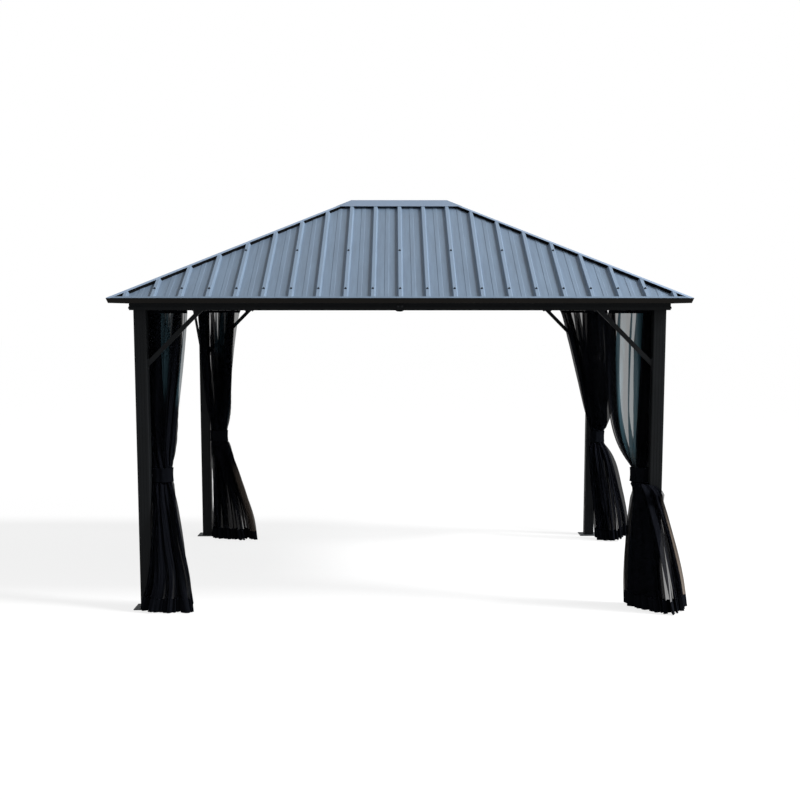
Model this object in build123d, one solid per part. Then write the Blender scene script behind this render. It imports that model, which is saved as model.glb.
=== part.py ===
from build123d import *

import os
from math import atan2, cos, floor, hypot, radians, sqrt, tan

# Driving dimensions, in millimetres and degrees.
# X runs left to right along the long eave, Y from front to back, Z up from the floor.

# Overall form; head room is to the foot of the beams and their curtain tracks
roof_length = 3658.0
roof_width = 2956.0
roof_pitch = 26.2
head_room = 1931.0
eave_overhang = 139.0
joint_gap = 0.5

# Posts and feet
post_size = 80.0
post_wall = 2.5
post_corner_radius = 7.0
flute_count = 3
flute_pitch = 19.0
flute_width = 4.0
flute_depth = 1.0
foot_size = 160.0
foot_thickness = 5.0
foot_corner_radius = 6.0
anchor_spacing = 124.0
anchor_hole = 11.0
spigot_wall = 3.0
spigot_height = 70.0
spigot_fit = 0.4

# Beams
beam_height = 109.0
beam_overhang = 25.0
beam_width = 80.0
beam_wall = 2.5
ledge_rise = 8.0
ledge_height = 14.0
ledge_depth = 4.0
track_width = 20.0
track_height = 20.0
track_wall = 2.0
track_slot = 8.0
splice_width = 42.0
splice_tip = 14.0
splice_thickness = 4.0
splice_rise = 38.0
splice_drop = 9.0

# Knee braces
brace_leg = 362.0
brace_width = 28.0
brace_thickness = 15.0
brace_tab_length = 74.0
brace_tab_width = 26.0
brace_tab_thickness = 3.0
brace_offset = 20.0

# Roof covering
sheet_thickness = 0.8
rib_pitch = 172.0
rib_base = 38.0
rib_top = 20.0
rib_height = 20.0
swage_base = 30.0
swage_top = 24.0
swage_height = 2.0
cap_thickness = 1.2
hip_cap_width = 40.0
ridge_cap_drop = 107.0
trim_thickness = 1.5
trim_height = 30.0
trim_slant = 11.5
trim_top_lip = 20.0
trim_bottom_lip = 34.0

# Roof frame
rafter_width = 40.0
rafter_depth = 50.0
frame_wall = 2.0
purlin_width = 40.0
purlin_depth = 25.0
purlin_from_eave = 659.0

# Mosquito nets, drawn back to the posts
net_thickness = 60.0
net_draw = 0.88
net_floor_gap = 4.0
tie_height = 870.0
tie_band = 90.0
net_clearance = 5.0

# Each net: how far it runs along the side track and the long track, then the plan of its waist
# at the tie and of its hem, as x0, x1, y0, y1 from the post's centre
NETS = {
    "front_left": (300.0, 245.0, (45.0, 168.0, 0.0, 100.0), (-38.0, 307.0, -165.0, 100.0)),
    "back_left": (330.0, 245.0, (50.0, 196.0, -105.0, 0.0), (58.0, 441.0, -250.0, 10.0)),
    "back_right": (870.0, 220.0, (-20.0, 110.0, -175.0, -50.0), (50.0, 175.0, -340.0, -40.0)),
    "front_right": (300.0, 255.0, (-138.0, -45.0, 0.0, 100.0), (-139.0, 175.0, -160.0, 150.0)),
}

# Values worked out from the dimensions above
slope = tan(radians(roof_pitch))
hip_slope = slope / sqrt(2)
run = roof_width / 2
ridge_half = (roof_length - roof_width) / 2
diagonal = sqrt(2)


def drop(thickness):
    """Height that a layer of this thickness takes up, measured straight down."""
    return thickness / cos(radians(roof_pitch))


post_x = roof_length / 2 - eave_overhang - post_size / 2
post_y = roof_width / 2 - eave_overhang - post_size / 2
bore_size = post_size - 2 * (post_wall + flute_depth)
bore_corner = post_corner_radius - post_wall
beam_foot = head_room
beam_out = run - eave_overhang + beam_overhang
track_offset = beam_width + track_width - beam_overhang - post_size / 2

# Height of each roof layer's plane where it meets the ridge line: the sheets rest on the beams,
# the hip caps on the ribs and the ridge cap on the hip caps
pan_under = beam_foot + beam_height + slope * (beam_out - ledge_depth)
pan_top = pan_under + drop(sheet_thickness)
rib_crest = pan_top + drop(rib_height)
ridge_cap_under = rib_crest + drop(cap_thickness)
overall_height = ridge_cap_under + drop(cap_thickness)

# Each side of the roof: turn about Z, half the eave's length, shift of its ridge end
SIDES = {
    "front": (0, roof_length / 2, 0),
    "right": (90, roof_width / 2, ridge_half),
    "back": (180, roof_length / 2, 0),
    "left": (270, roof_width / 2, -ridge_half),
}

# Each corner: sign of X and of Y
CORNERS = {
    "front_left": (-1, -1),
    "front_right": (1, -1),
    "back_right": (1, 1),
    "back_left": (-1, 1),
}


def layer(y, crest):
    """Height of a roof plane at y, where the ridge is y = 0 and the eave is y = -run."""
    return crest + slope * y


def on_side(shape, side):
    """Turn a shape drawn for the front onto one of the four sides."""
    turn, _, shift = SIDES[side]
    return Pos(shift, 0, 0) * Rot(0, 0, turn) * shape


def wedge(half, gap, near=0.0, far=0.0):
    """Upright prism over one roof slope in plan, between its two hips and `gap` clear of them."""
    outer = run + far
    inner = near
    corner = half - gap * diagonal
    points = [
        (-(corner - run + outer), -outer),
        (corner - run + outer, -outer),
        (corner - run + inner, -inner),
        (-(corner - run + inner), -inner),
    ]
    if corner - run + inner <= 0:
        points = points[:2] + [(0, corner - run)]
    face = make_face(Polyline(*[(x, y) for x, y in points], close=True))
    return extrude(face, amount=2 * overall_height)


def along_eave(points, half):
    """Extrude an outline given as (y, z) points along the front eave."""
    outline = Plane.YZ * make_face(Polyline(*points, close=True))
    return Pos(-half, 0, 0) * extrude(outline, amount=2 * half)


def hip_run(points, corner):
    """Extrude an outline given as (across, z) points up the hip from one corner of the eaves.

    z is measured from the hip line of the outline's own layer at the eave.
    """
    sign_x, sign_y = CORNERS[corner]
    length = hypot(run * diagonal, run * slope)
    face = Plane.YZ * make_face(Polyline(*points, close=True))
    bar = extrude(face, amount=length, dir=(1, 0, hip_slope))
    turn = {(-1, -1): 45, (1, -1): 135, (1, 1): 225, (-1, 1): 315}[(sign_x, sign_y)]
    return Pos(sign_x * roof_length / 2, sign_y * roof_width / 2, 0) * Rot(0, 0, turn) * bar


def quadrant(corner, x0, x1, y0, y1):
    """Upright block over part of one corner's quarter of the plan, as distances from the centre."""
    sign_x, sign_y = CORNERS[corner]
    block = Box(x1 - x0, y1 - y0, 2 * overall_height)
    return Pos(sign_x * (x0 + x1) / 2, sign_y * (y0 + y1) / 2, overall_height) * block


def cut_square(size, corner):
    """Square outline with its corners cut off at 45 degrees."""
    square = Rectangle(size, size)
    return chamfer(square.vertices(), corner)


# Posts: rounded square extrusions, fluted on every face, open inside
def make_post():
    height = beam_foot - foot_thickness
    section = RectangleRounded(post_size, post_size, post_corner_radius)
    flute = Pos(post_size / 2 - flute_depth / 2, 0) * Rectangle(flute_depth, flute_width)
    for turn in (0, 90, 180, 270):
        for place in range(flute_count):
            offset = (place - (flute_count - 1) / 2) * flute_pitch
            section -= Rot(0, 0, turn) * Pos(0, offset) * flute
    section -= cut_square(bore_size, bore_corner)
    return Pos(0, 0, foot_thickness) * extrude(section, amount=height)


# Feet: square plates with four anchor holes and a spigot that fills the post's bore
def make_foot():
    outline = RectangleRounded(foot_size, foot_size, foot_corner_radius)
    for place in GridLocations(anchor_spacing, anchor_spacing, 2, 2):
        outline -= place * Circle(anchor_hole / 2)
    plate = extrude(outline, amount=foot_thickness)
    outer = bore_size - 2 * spigot_fit
    spigot = cut_square(outer, bore_corner) - cut_square(outer - 2 * spigot_wall, bore_corner)
    return plate + Pos(0, 0, foot_thickness) * extrude(spigot, amount=spigot_height)


# Beams: hollow extrusions with a sloping top under the roof, a ledge along the outer face near
# its foot and two slotted curtain tracks along the inner side, from post to post
def make_beam(side):
    half = SIDES[side][1]
    y0 = -beam_out
    y1 = y0 + ledge_depth
    y2 = y0 + beam_width
    z0 = beam_foot
    outline = [
        (y1, z0),
        (y2, z0),
        (y2, layer(y2, pan_under)),
        (y1, layer(y1, pan_under)),
        (y1, z0 + ledge_rise + ledge_height),
        (y0, z0 + ledge_rise + ledge_height),
        (y0, z0 + ledge_rise),
        (y1, z0 + ledge_rise),
    ]
    wall = beam_wall
    hollow = [
        (y1 + wall, z0 + wall),
        (y2 - wall, z0 + wall),
        (y2 - wall, layer(y2 - wall, pan_under) - drop(wall)),
        (y1 + wall, layer(y1 + wall, pan_under) - drop(wall)),
    ]
    beam = along_eave(outline, half) - along_eave(hollow, half)
    between_posts = half - eave_overhang - post_size - joint_gap
    for track in range(2):
        left = y2 + track * track_width
        right = left + track_width
        slot = (track_width - track_slot) / 2
        channel = [
            (left, z0),
            (left + slot, z0),
            (left + slot, z0 + track_wall),
            (left + track_wall, z0 + track_wall),
            (left + track_wall, z0 + track_height - track_wall),
            (right - track_wall, z0 + track_height - track_wall),
            (right - track_wall, z0 + track_wall),
            (right - slot, z0 + track_wall),
            (right - slot, z0),
            (right, z0),
            (right, z0 + track_height),
            (left, z0 + track_height),
        ]
        beam += along_eave(channel, between_posts)
    return on_side(beam & wedge(half, joint_gap / 2), side)


# Splices: brackets under a long beam where its two lengths meet, with a pointed plate in front
def make_splice(side):
    wide = splice_width / 2
    narrow = splice_tip / 2
    front = -beam_out - joint_gap
    outline = [
        (-wide, beam_foot + splice_rise),
        (-wide, beam_foot - splice_thickness),
        (-narrow, beam_foot - splice_drop),
        (narrow, beam_foot - splice_drop),
        (wide, beam_foot - splice_thickness),
        (wide, beam_foot + splice_rise),
    ]
    plate = Plane.XZ.offset(-front) * make_face(Polyline(*outline, close=True))
    bracket = extrude(plate, amount=splice_thickness)
    depth = beam_width - joint_gap + splice_thickness
    flange = Box(splice_width, depth, splice_thickness)
    middle = front - splice_thickness + depth / 2
    bracket += Pos(0, middle, beam_foot - splice_thickness / 2) * flange
    return on_side(bracket, side)


# Knee braces: flat bars at 45 degrees with a tab on the post and a tab under the beam
def make_brace():
    """Brace from a post at x = 0 up to a beam at z = 0."""
    across = brace_width * diagonal
    leg = brace_leg
    bar = [(0, -leg), (leg, 0), (leg - across, 0), (0, across - leg)]
    plane = Plane.XZ.offset(-brace_thickness / 2)
    brace = extrude(plane * make_face(Polyline(*bar, close=True)), amount=brace_thickness)
    middle = leg - across / 2
    tab = Box(brace_tab_thickness, brace_tab_width, brace_tab_length)
    brace += Pos(brace_tab_thickness / 2, 0, -middle) * tab
    brace += Pos(middle, 0, -brace_tab_thickness / 2) * Rot(0, 90, 0) * tab
    return brace


def place_brace(corner, plane):
    """Brace at a corner, in the front or back plane ("long") or in the side plane ("short")."""
    sign_x, sign_y = CORNERS[corner]
    inner = post_size / 2
    if plane == "long":
        turn = 0 if sign_x < 0 else 180
        place = Pos(sign_x * (post_x - inner), sign_y * (post_y + brace_offset), beam_foot)
    else:
        turn = 90 if sign_y < 0 else 270
        place = Pos(sign_x * (post_x + brace_offset), sign_y * (post_y - inner), beam_foot)
    return place * Rot(0, 0, turn) * make_brace()


# Roof sheets: one ribbed sheet for each slope, trimmed to the hips
def fold(centre, base, top, height):
    """Points of one fold of the sheet's upper side, from left to right."""
    return [
        (centre - base / 2, 0),
        (centre - top / 2, height),
        (centre + top / 2, height),
        (centre + base / 2, 0),
    ]


def inner_fold(centre, base, top, height, wall):
    """The same fold on the sheet's underside, one wall thickness in from its flanks."""
    flank = atan2(height, (base - top) / 2)
    inset = wall * tan(flank / 2)
    points = fold(centre, base - 2 * inset, top - 2 * inset, height)
    return [(x, z - wall) for x, z in points]


def make_sheet(side):
    half = SIDES[side][1]
    wall = drop(sheet_thickness)
    ribs = floor((half - rib_base) / rib_pitch)
    folds = [(0, rib_base, rib_top, drop(rib_height))]
    for place in range(1, ribs + 1):
        for sign in (-1, 1):
            folds.append((sign * place * rib_pitch, rib_base, rib_top, drop(rib_height)))
            swage = sign * (place - 0.5) * rib_pitch
            folds.append((swage, swage_base, swage_top, drop(swage_height)))
    folds.sort()
    upper = [(-half, 0)]
    lower = [(-half, -wall)]
    for shape in folds:
        upper += fold(*shape)
        lower += inner_fold(*shape, wall)
    upper.append((half, 0))
    lower.append((half, -wall))
    outline = Plane.XZ * make_face(Polyline(*upper, *reversed(lower), close=True))
    start = Pos(0, -run, layer(-run, pan_top)) * outline
    sheet = extrude(start, amount=hypot(run, run * slope), dir=(0, 1, slope))
    inset = trim_thickness + trim_slant * drop(rib_height + sheet_thickness) / trim_height + joint_gap
    return on_side(sheet & wedge(half, joint_gap, near=joint_gap, far=-inset), side)


# Eave trims: folded strips that close the sheets' lower edges, mitred at the corners
def make_trim(side):
    half = SIDES[side][1]
    crest = layer(-run, rib_crest)
    foot = crest - trim_height
    wall = trim_thickness
    face = [
        (-run, crest),
        (-run + trim_slant, foot),
        (-run + trim_slant + trim_bottom_lip, foot),
        (-run + trim_slant + trim_bottom_lip, foot + wall),
        (-run + trim_slant + wall, foot + wall),
        (-run + wall, layer(-run + wall, rib_crest)),
    ]
    lip = [
        (-run, crest),
        (-run + trim_top_lip, layer(-run + trim_top_lip, rib_crest)),
        (-run + trim_top_lip, layer(-run + trim_top_lip, ridge_cap_under)),
        (-run, layer(-run, ridge_cap_under)),
    ]
    trim = along_eave(face, half) & wedge(half, joint_gap / 2)
    trim += along_eave(lip, half) & wedge(half, hip_cap_width / 2 + joint_gap)
    return on_side(trim, side)


# Hip caps: folded strips that lie on the ribs and close the joint between two slopes
def make_hip_cap(corner):
    side = hip_cap_width / 2
    wall = drop(cap_thickness)
    top = layer(-run, ridge_cap_under)
    outline = [
        (0, top),
        (side, top - hip_slope * side),
        (side, top - hip_slope * side - wall),
        (0, top - wall),
        (-side, top - hip_slope * side - wall),
        (-side, top - hip_slope * side),
    ]
    limits = quadrant(corner, ridge_half + joint_gap, roof_length / 2, joint_gap, roof_width / 2)
    return hip_run(outline, corner) & limits


# Ridge cap: a small hipped cover seated on the hip caps
def hipped(crest):
    """Solid under four roof planes whose ridge is at this height."""
    depth = ridge_cap_drop * 2
    foot = crest - slope * depth
    long_way = Plane.YZ * make_face(Polyline((-depth, foot), (depth, foot), (0, crest), close=True))
    reach = ridge_half + depth
    gable = Polyline((-reach, foot), (reach, foot), (ridge_half, crest), (-ridge_half, crest), close=True)
    short_way = Plane.XZ * make_face(gable)
    ridge = Pos(-reach, 0, 0) * extrude(long_way, amount=2 * reach)
    return ridge & (Pos(0, depth, 0) * extrude(short_way, amount=2 * depth))


def make_ridge_cap():
    cap = hipped(overall_height) - hipped(ridge_cap_under)
    cover = Box(2 * (ridge_half + ridge_cap_drop), 2 * ridge_cap_drop, 2 * overall_height)
    return cap & cover


# Roof frame: peaked hip rafters and ridge beam, with a purlin under each slope
def peaked(half, depth, fall, wall):
    """Outline of a bar whose top follows two roof planes, and of the hollow inside it."""
    outline = [(-half, -depth), (half, -depth), (half, -fall * half), (0, 0), (-half, -fall * half)]
    side = half - wall
    inner = [
        (-side, wall - depth),
        (side, wall - depth),
        (side, -fall * side - drop(wall)),
        (0, -drop(wall)),
        (-side, -fall * side - drop(wall)),
    ]
    return outline, inner


def make_rafter(corner):
    crest = layer(-run, pan_under)
    outer, inner = peaked(rafter_width / 2, rafter_depth, hip_slope, frame_wall)
    bar = hip_run([(x, z + crest) for x, z in outer], corner)
    bar -= hip_run([(x, z + crest) for x, z in inner], corner)
    reach_x = ridge_half + beam_out - beam_width - joint_gap
    reach_y = beam_out - beam_width - joint_gap
    return bar & quadrant(corner, ridge_half + joint_gap, reach_x, joint_gap, reach_y)


def make_ridge_beam():
    outer, inner = peaked(rafter_width / 2, rafter_depth, slope, frame_wall)
    bar = along_eave([(y, z + pan_under) for y, z in outer], ridge_half)
    return bar - along_eave([(y, z + pan_under) for y, z in inner], ridge_half)


def make_purlin(side):
    half = SIDES[side][1]
    middle = purlin_from_eave - run
    low = middle - purlin_width / 2
    high = middle + purlin_width / 2
    depth = drop(purlin_depth)
    outline = [
        (low, layer(low, pan_under)),
        (high, layer(high, pan_under)),
        (high, layer(high, pan_under) - depth),
        (low, layer(low, pan_under) - depth),
    ]
    wall = frame_wall
    hollow = [
        (low + wall, layer(low + wall, pan_under) - drop(wall)),
        (high - wall, layer(high - wall, pan_under) - drop(wall)),
        (high - wall, layer(high - wall, pan_under) - depth + drop(wall)),
        (low + wall, layer(low + wall, pan_under) - depth + drop(wall)),
    ]
    bar = along_eave(outline, half) - along_eave(hollow, half)
    return on_side(bar & wedge(half, rafter_width / 2 + joint_gap), side)


# Mosquito nets: soft shapes from the tracks to the tie band and from there to the floor
def net_body(sections):
    """Flat-sided body through level sections given as (height, x0, x1, y0, y1), lowest first."""
    rings = []
    for height, x0, x1, y0, y1 in sections:
        rings.append([(x0, y0, height), (x1, y0, height), (x1, y1, height), (x0, y1, height)])
    outlines = [rings[0], rings[-1]]
    for low, high in zip(rings, rings[1:]):
        for place in range(4):
            after = (place + 1) % 4
            outlines.append([low[place], low[after], high[after], high[place]])
    return Solid(Shell([Face(Wire.make_polygon(points)) for points in outlines]))


side_track = post_x - track_offset
end_track = post_y - track_offset
net_top = head_room - joint_gap
net_knee = beam_foot - brace_leg - brace_width
tie_top = tie_height + tie_band / 2
tie_foot = tie_height - tie_band / 2
half_net = net_thickness / 2
net_post_gap = post_size / 2 + net_clearance


def post_clearance(corner):
    """Block round a post and its foot that the net keeps out of."""
    sign_x, sign_y = CORNERS[corner]
    across = post_size + 2 * net_clearance
    post = Pos(0, 0, head_room / 2) * Box(across, across, head_room)
    around = foot_size + 2 * net_clearance
    foot = Box(around, around, 2 * (foot_thickness + net_clearance))
    return Pos(sign_x * post_x, sign_y * post_y, 0) * (post + foot)


def side_wing(corner, reach, waist):
    """Cloth on a side track, from the post to `reach` along it, gathered into the waist."""
    sign_x, sign_y = CORNERS[corner]
    x0, x1 = sorted((sign_x * (side_track - half_net), sign_x * (side_track + half_net)))
    near = sign_y * (post_y - net_post_gap)
    sections = [(tie_top, *waist)]
    for height, share in ((net_knee, net_draw), (net_top, 1.0)):
        far = sign_y * (post_y - net_post_gap - share * reach)
        sections.append((height, x0, x1, *sorted((near, far))))
    return net_body(sections)


def end_wing(corner, reach, waist):
    """Cloth on a long track, from the post to `reach` along it, gathered into the waist."""
    sign_x, sign_y = CORNERS[corner]
    y0, y1 = sorted((sign_y * (end_track - half_net), sign_y * (end_track + half_net)))
    near = sign_x * (post_x - net_post_gap)
    sections = [(tie_top, *waist)]
    for height, share in ((net_knee, net_draw), (net_top, 1.0)):
        far = sign_x * (post_x - net_post_gap - share * reach)
        sections.append((height, *sorted((near, far)), y0, y1))
    return net_body(sections)


def skirt(waist, hem):
    """Cloth below the tie, spreading from the waist to the hem near the floor."""
    return net_body([(net_floor_gap, *hem), (tie_foot, *waist), (tie_top, *waist)])


def make_net(corner):
    sign_x, sign_y = CORNERS[corner]
    side_reach, end_reach, waist, hem = NETS[corner]
    middle = (sign_x * post_x, sign_x * post_x, sign_y * post_y, sign_y * post_y)
    waist = tuple(a + b for a, b in zip(middle, waist))
    hem = tuple(a + b for a, b in zip(middle, hem))
    wings = side_wing(corner, side_reach, waist) + end_wing(corner, end_reach, waist)
    return skirt(waist, hem) + wings - post_clearance(corner)


def build_parts():
    """Every sub-part under its node name."""
    parts = {}
    for corner, (sign_x, sign_y) in CORNERS.items():
        place = Pos(sign_x * post_x, sign_y * post_y, 0)
        parts[f"foot_{corner}"] = place * make_foot()
        parts[f"post_{corner}"] = place * make_post()
        parts[f"brace_{corner}_long"] = place_brace(corner, "long")
        parts[f"brace_{corner}_short"] = place_brace(corner, "short")
        parts[f"hip_rafter_{corner}"] = make_rafter(corner)
        parts[f"hip_cap_{corner}"] = make_hip_cap(corner)
        parts[f"net_{corner}"] = make_net(corner)
    for side in SIDES:
        parts[f"beam_{side}"] = make_beam(side)
        parts[f"purlin_{side}"] = make_purlin(side)
        parts[f"roof_sheet_{side}"] = make_sheet(side)
        parts[f"eave_trim_{side}"] = make_trim(side)
    for side in ("front", "back"):
        parts[f"beam_splice_{side}"] = make_splice(side)
    parts["ridge_beam"] = make_ridge_beam()
    parts["ridge_cap"] = make_ridge_cap()
    return parts


os.makedirs("parts", exist_ok=True)
for name, shape in build_parts().items():
    export_step(shape, f"parts/{name}.step")
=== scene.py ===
"""Hardtop gazebo: finishes, fasteners, curtain gliders and mosquito nets round the built frame."""

from functools import partial
from math import atan, cos, pi, radians, sin, sqrt, tan

import bmesh
import bpy
import numpy as np
from bpy.props import FloatProperty, FloatVectorProperty, IntProperty, PointerProperty
from mathutils import Matrix, Vector


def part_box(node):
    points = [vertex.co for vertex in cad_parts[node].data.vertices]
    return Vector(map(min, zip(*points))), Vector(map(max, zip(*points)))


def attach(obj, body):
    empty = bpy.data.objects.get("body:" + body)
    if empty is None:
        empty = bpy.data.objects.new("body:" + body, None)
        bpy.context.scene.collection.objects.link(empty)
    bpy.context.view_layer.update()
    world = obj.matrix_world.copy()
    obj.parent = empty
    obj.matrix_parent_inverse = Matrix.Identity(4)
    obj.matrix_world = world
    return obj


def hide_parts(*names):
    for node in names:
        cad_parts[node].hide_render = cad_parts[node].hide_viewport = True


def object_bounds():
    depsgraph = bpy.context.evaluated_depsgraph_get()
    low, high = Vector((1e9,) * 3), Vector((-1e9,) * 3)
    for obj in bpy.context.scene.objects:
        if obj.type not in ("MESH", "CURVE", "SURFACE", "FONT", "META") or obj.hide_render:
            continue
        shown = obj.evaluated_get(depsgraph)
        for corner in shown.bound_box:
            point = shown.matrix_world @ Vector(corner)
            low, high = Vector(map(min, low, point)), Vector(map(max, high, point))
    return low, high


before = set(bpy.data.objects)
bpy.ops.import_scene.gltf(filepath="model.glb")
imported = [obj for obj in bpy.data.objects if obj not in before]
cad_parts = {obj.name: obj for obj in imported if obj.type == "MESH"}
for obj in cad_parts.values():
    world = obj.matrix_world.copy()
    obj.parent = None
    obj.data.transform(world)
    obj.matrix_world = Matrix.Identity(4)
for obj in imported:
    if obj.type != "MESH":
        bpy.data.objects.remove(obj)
CAD_BOX = [list(corner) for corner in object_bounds()]

bl_info = {
    "name": "Hardtop Gazebo",
    "version": (1, 0, 0),
    "blender": (4, 5, 0),
    "location": "View3D > Sidebar > Gazebo",
    "description": "Dresses the frame of a hardtop gazebo and hangs its mosquito nets",
    "category": "Object",
}

CORNERS = {"front_left": (-1, -1), "front_right": (1, -1), "back_right": (1, 1), "back_left": (-1, 1)}
SIDES = ("front", "right", "back", "left")
TURNS = {"front": 0.0, "right": pi / 2, "back": pi, "left": -pi / 2}
HALF_LENGTH, HALF_WIDTH, RIDGE_HEIGHT = CAD_BOX[1]
ROOF_PITCH = radians(26.2)
ROOF_SLOPE = tan(ROOF_PITCH)
RIB_RISE = 0.020 / cos(ROOF_PITCH)
# Height of the rib crests at the ridge, under the walls of the hip caps and the ridge cap
CAP_WALL = 0.0012
CREST_TOP = RIDGE_HEIGHT - 2 * CAP_WALL / cos(ROOF_PITCH)
# Chamfer on the edges of the fasteners and the foam strips
CHAMFER = 0.0006


def linear(code):
    """Linear colour of an sRGB hex code such as #1E2022."""
    parts = [int(code[place:place + 2], 16) / 255 for place in (1, 3, 5)]
    return tuple(part / 12.92 if part <= 0.04045 else ((part + 0.055) / 1.055) ** 2.4 for part in parts)


def colour(label, description, code):
    """Colour setting with a default given as an sRGB hex code."""
    return FloatVectorProperty(
        name=label, description=description, default=linear(code), min=0.0, max=1.0, subtype="COLOR"
    )


def number(label, description, value, **fields):
    """Number setting from 0 up."""
    return FloatProperty(name=label, description=description, default=value, min=0.0, **fields)


def length(label, description, metres):
    """Length setting in metres."""
    return number(label, description, metres, unit="LENGTH", subtype="DISTANCE", precision=4)


class GazeboMetalSettings(bpy.types.PropertyGroup):
    """Colours of the frame and the roof."""

    charcoal: colour("Charcoal coat", "Powder coat of the posts, beams and braces", "#17191B")
    trim_brown: colour("Eave trim coat", "Powder coat of the eave trims' faces", "#1A1816")
    # The foot plates' grey is lighter than the frame's charcoal: a painted glint, with dust
    plate_grey: colour("Foot plate coat", "Worn coat of the foot plates", "#4A4D50")
    roof_blue: colour("Roof sheet coat", "Coil coat of the ribbed sheets", "#738599")
    cap_blue: colour("Cap coat", "Coil coat of the hip and ridge caps", "#8091A7")
    screw_coat: colour("Screw head coat", "Coat of the roofing screws", "#27303C")


class GazeboFastenerSettings(bpy.types.PropertyGroup):
    """Sizes and places of the roofing screws, brace bolts and hip closure strips."""

    rib_pitch: length("Rib pitch", "Spacing of the roof sheets' ribs", 0.172)
    lower_row: length("Lower screw row", "Plan distance of the lower screws from the eave", 0.125)
    upper_row: length("Upper screw row", "Plan distance of the upper screws from the eave", 0.659)
    washer: length("Washer", "Diameter of a roofing screw's washer", 0.016)
    screw_head: length("Screw head", "Width across the corners of a roofing screw's head", 0.0095)
    bolt_head: length("Bolt head", "Width across the corners of a brace bolt's head", 0.0115)
    bolt_spacing: length("Bolt spacing", "Spacing of the two bolts in a brace tab", 0.056)
    closure: length("Closure strip", "Width of the foam strips under the hip caps", 0.008)
    closure_offset: length("Closure offset", "Distance of the foam strips from the hip line", 0.014)


class GazeboNetSettings(bpy.types.PropertyGroup):
    """Cloth and folds of the mosquito nets."""

    cut_width: length("Cut width", "Width of each net laid flat", 2.9)
    cut_height: length("Cut height", "Height of each net laid flat", 1.93)
    pleats: IntProperty(name="Pleats", description="Gliders on each net, and pleats", default=20, min=4)
    tape: length("Header tape", "Height of the woven tape at the head", 0.025)
    hem: length("Hem", "Height of the hem's doubled band", 0.08)
    strap: length("Tie strap", "Height of the strap that ties a net back", 0.09)
    cloth: colour("Net", "Colour of the polyester mesh", "#12141A")
    # Painted light: the sky's and the ground's colours painted on single layers of the net, above and
    # below the ties
    painted_sky_light: colour("Sky glaze", "Colour that single layers take above the ties", "#587C8A")
    painted_ground_light: colour("Ground glaze", "Colour that single layers take below the ties", "#83766A")
    tape_colour: colour("Tape", "Colour of the header tape, hem and strap", "#0E1015")
    cover: number("Cover", "Share of the light that one layer of mesh stops", 0.75, max=1.0)


class GazeboStageSettings(bpy.types.PropertyGroup):
    """Camera and lights."""

    lens: number("Focal length", "Lens of the camera", 54.576, unit="CAMERA")
    sun_strength: number("Sun", "Strength of the key light", 2.25)
    panel_power: number("Panel", "Power of the soft panel on the right", 380.0, unit="POWER")
    sky_strength: number("Sky", "Strength of the even light round the object", 0.29)


def add_node(tree, kind, values=None, links=None, stops=(), **fields):
    """Adds a shader node with its fields, its inputs' values, its links and a ramp's two stops.

    A link comes from a socket, or from a node's first output.
    """
    node = tree.nodes.new(f"ShaderNode{kind}")
    for name, value in fields.items():
        setattr(node, name, value)
    for key, value in (values or {}).items():
        node.inputs[key].default_value = value
    for key, source in (links or {}).items():
        socket = source.outputs[0] if isinstance(source, bpy.types.Node) else source
        tree.links.new(socket, node.inputs[key])
    for place, (position, shade) in enumerate(stops):
        element = node.color_ramp.elements[place]
        element.position, element.color = position, (*shade, 1)
    return node


def new_material(name):
    """Empty node material, and add_node for its tree."""
    material = bpy.data.materials.new(name)
    material.use_nodes = True
    material.node_tree.nodes.clear()
    return material, partial(add_node, material.node_tree)


def scaled(shade, factor):
    """Linear colour made lighter or darker."""
    return tuple(min(1.0, part * factor) for part in shade)


def tones(shade, dark, light, low=0.3, high=0.7):
    """Ramp stops from a darker to a lighter tone of one colour."""
    return (low, scaled(shade, dark)), (high, scaled(shade, light))


# Scales of the finishes' patterns: cells in a metre, from the marks' sizes in millimetres
ORANGE_PEEL = 1000 / 4
HAND_MARKS = 1000 / 111
TRIM_MARKS = 1000 / 143
ROLLER_BANDS = 1000 / 38.5
DUST_CLOUDS = 1000 / 455
SPANGLE = 1000 / 1.1
MOULD_GRAIN = 1000 / 1.1
FOAM_CELLS = 1000 / 2.1
SLUBS = 1000 / 33.3
# A roller band's width as a share of its length
BAND_STRETCH = 0.06
WHITE = (1.0, 1.0, 1.0)


def powder_coat(name, shade, roughness, glint_and_dust=0.0):
    """Powder-coated aluminium: a baked polyester skin, matt, with a fine orange peel.

    The real peel is about 1.5 mm across, drawn here at 4 mm so that it shows; handling leaves the
    coat a little glossier in places a hand's width across.
    """
    material, add = new_material(name)
    place = add("TexCoord").outputs["Object"]
    peel = add("TexNoise", {"Scale": ORANGE_PEEL, "Detail": 2.0, "Roughness": 0.55}, {"Vector": place})
    smears = add("TexNoise", {"Scale": HAND_MARKS, "Detail": 3.0}, {"Vector": place})
    # `glint_and_dust` lifts the lighter patches: painted glint, with dust
    tone = add("ValToRGB", links={"Fac": smears}, stops=tones(shade, 0.82, 1.2 + glint_and_dust))
    gloss = {"From Min": 0.3, "From Max": 0.7, "To Min": roughness - 0.06, "To Max": roughness + 0.08}
    gloss = add("MapRange", gloss, {"Value": smears})
    bump = add("Bump", {"Strength": 0.25, "Distance": 0.0003}, {"Height": peel})
    shader = add(
        "BsdfPrincipled",
        {"IOR": 1.5, "Specular IOR Level": 0.09},
        {"Base Color": tone, "Roughness": gloss, "Normal": bump},
    )
    add("OutputMaterial", links={"Surface": shader})
    return material


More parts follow.
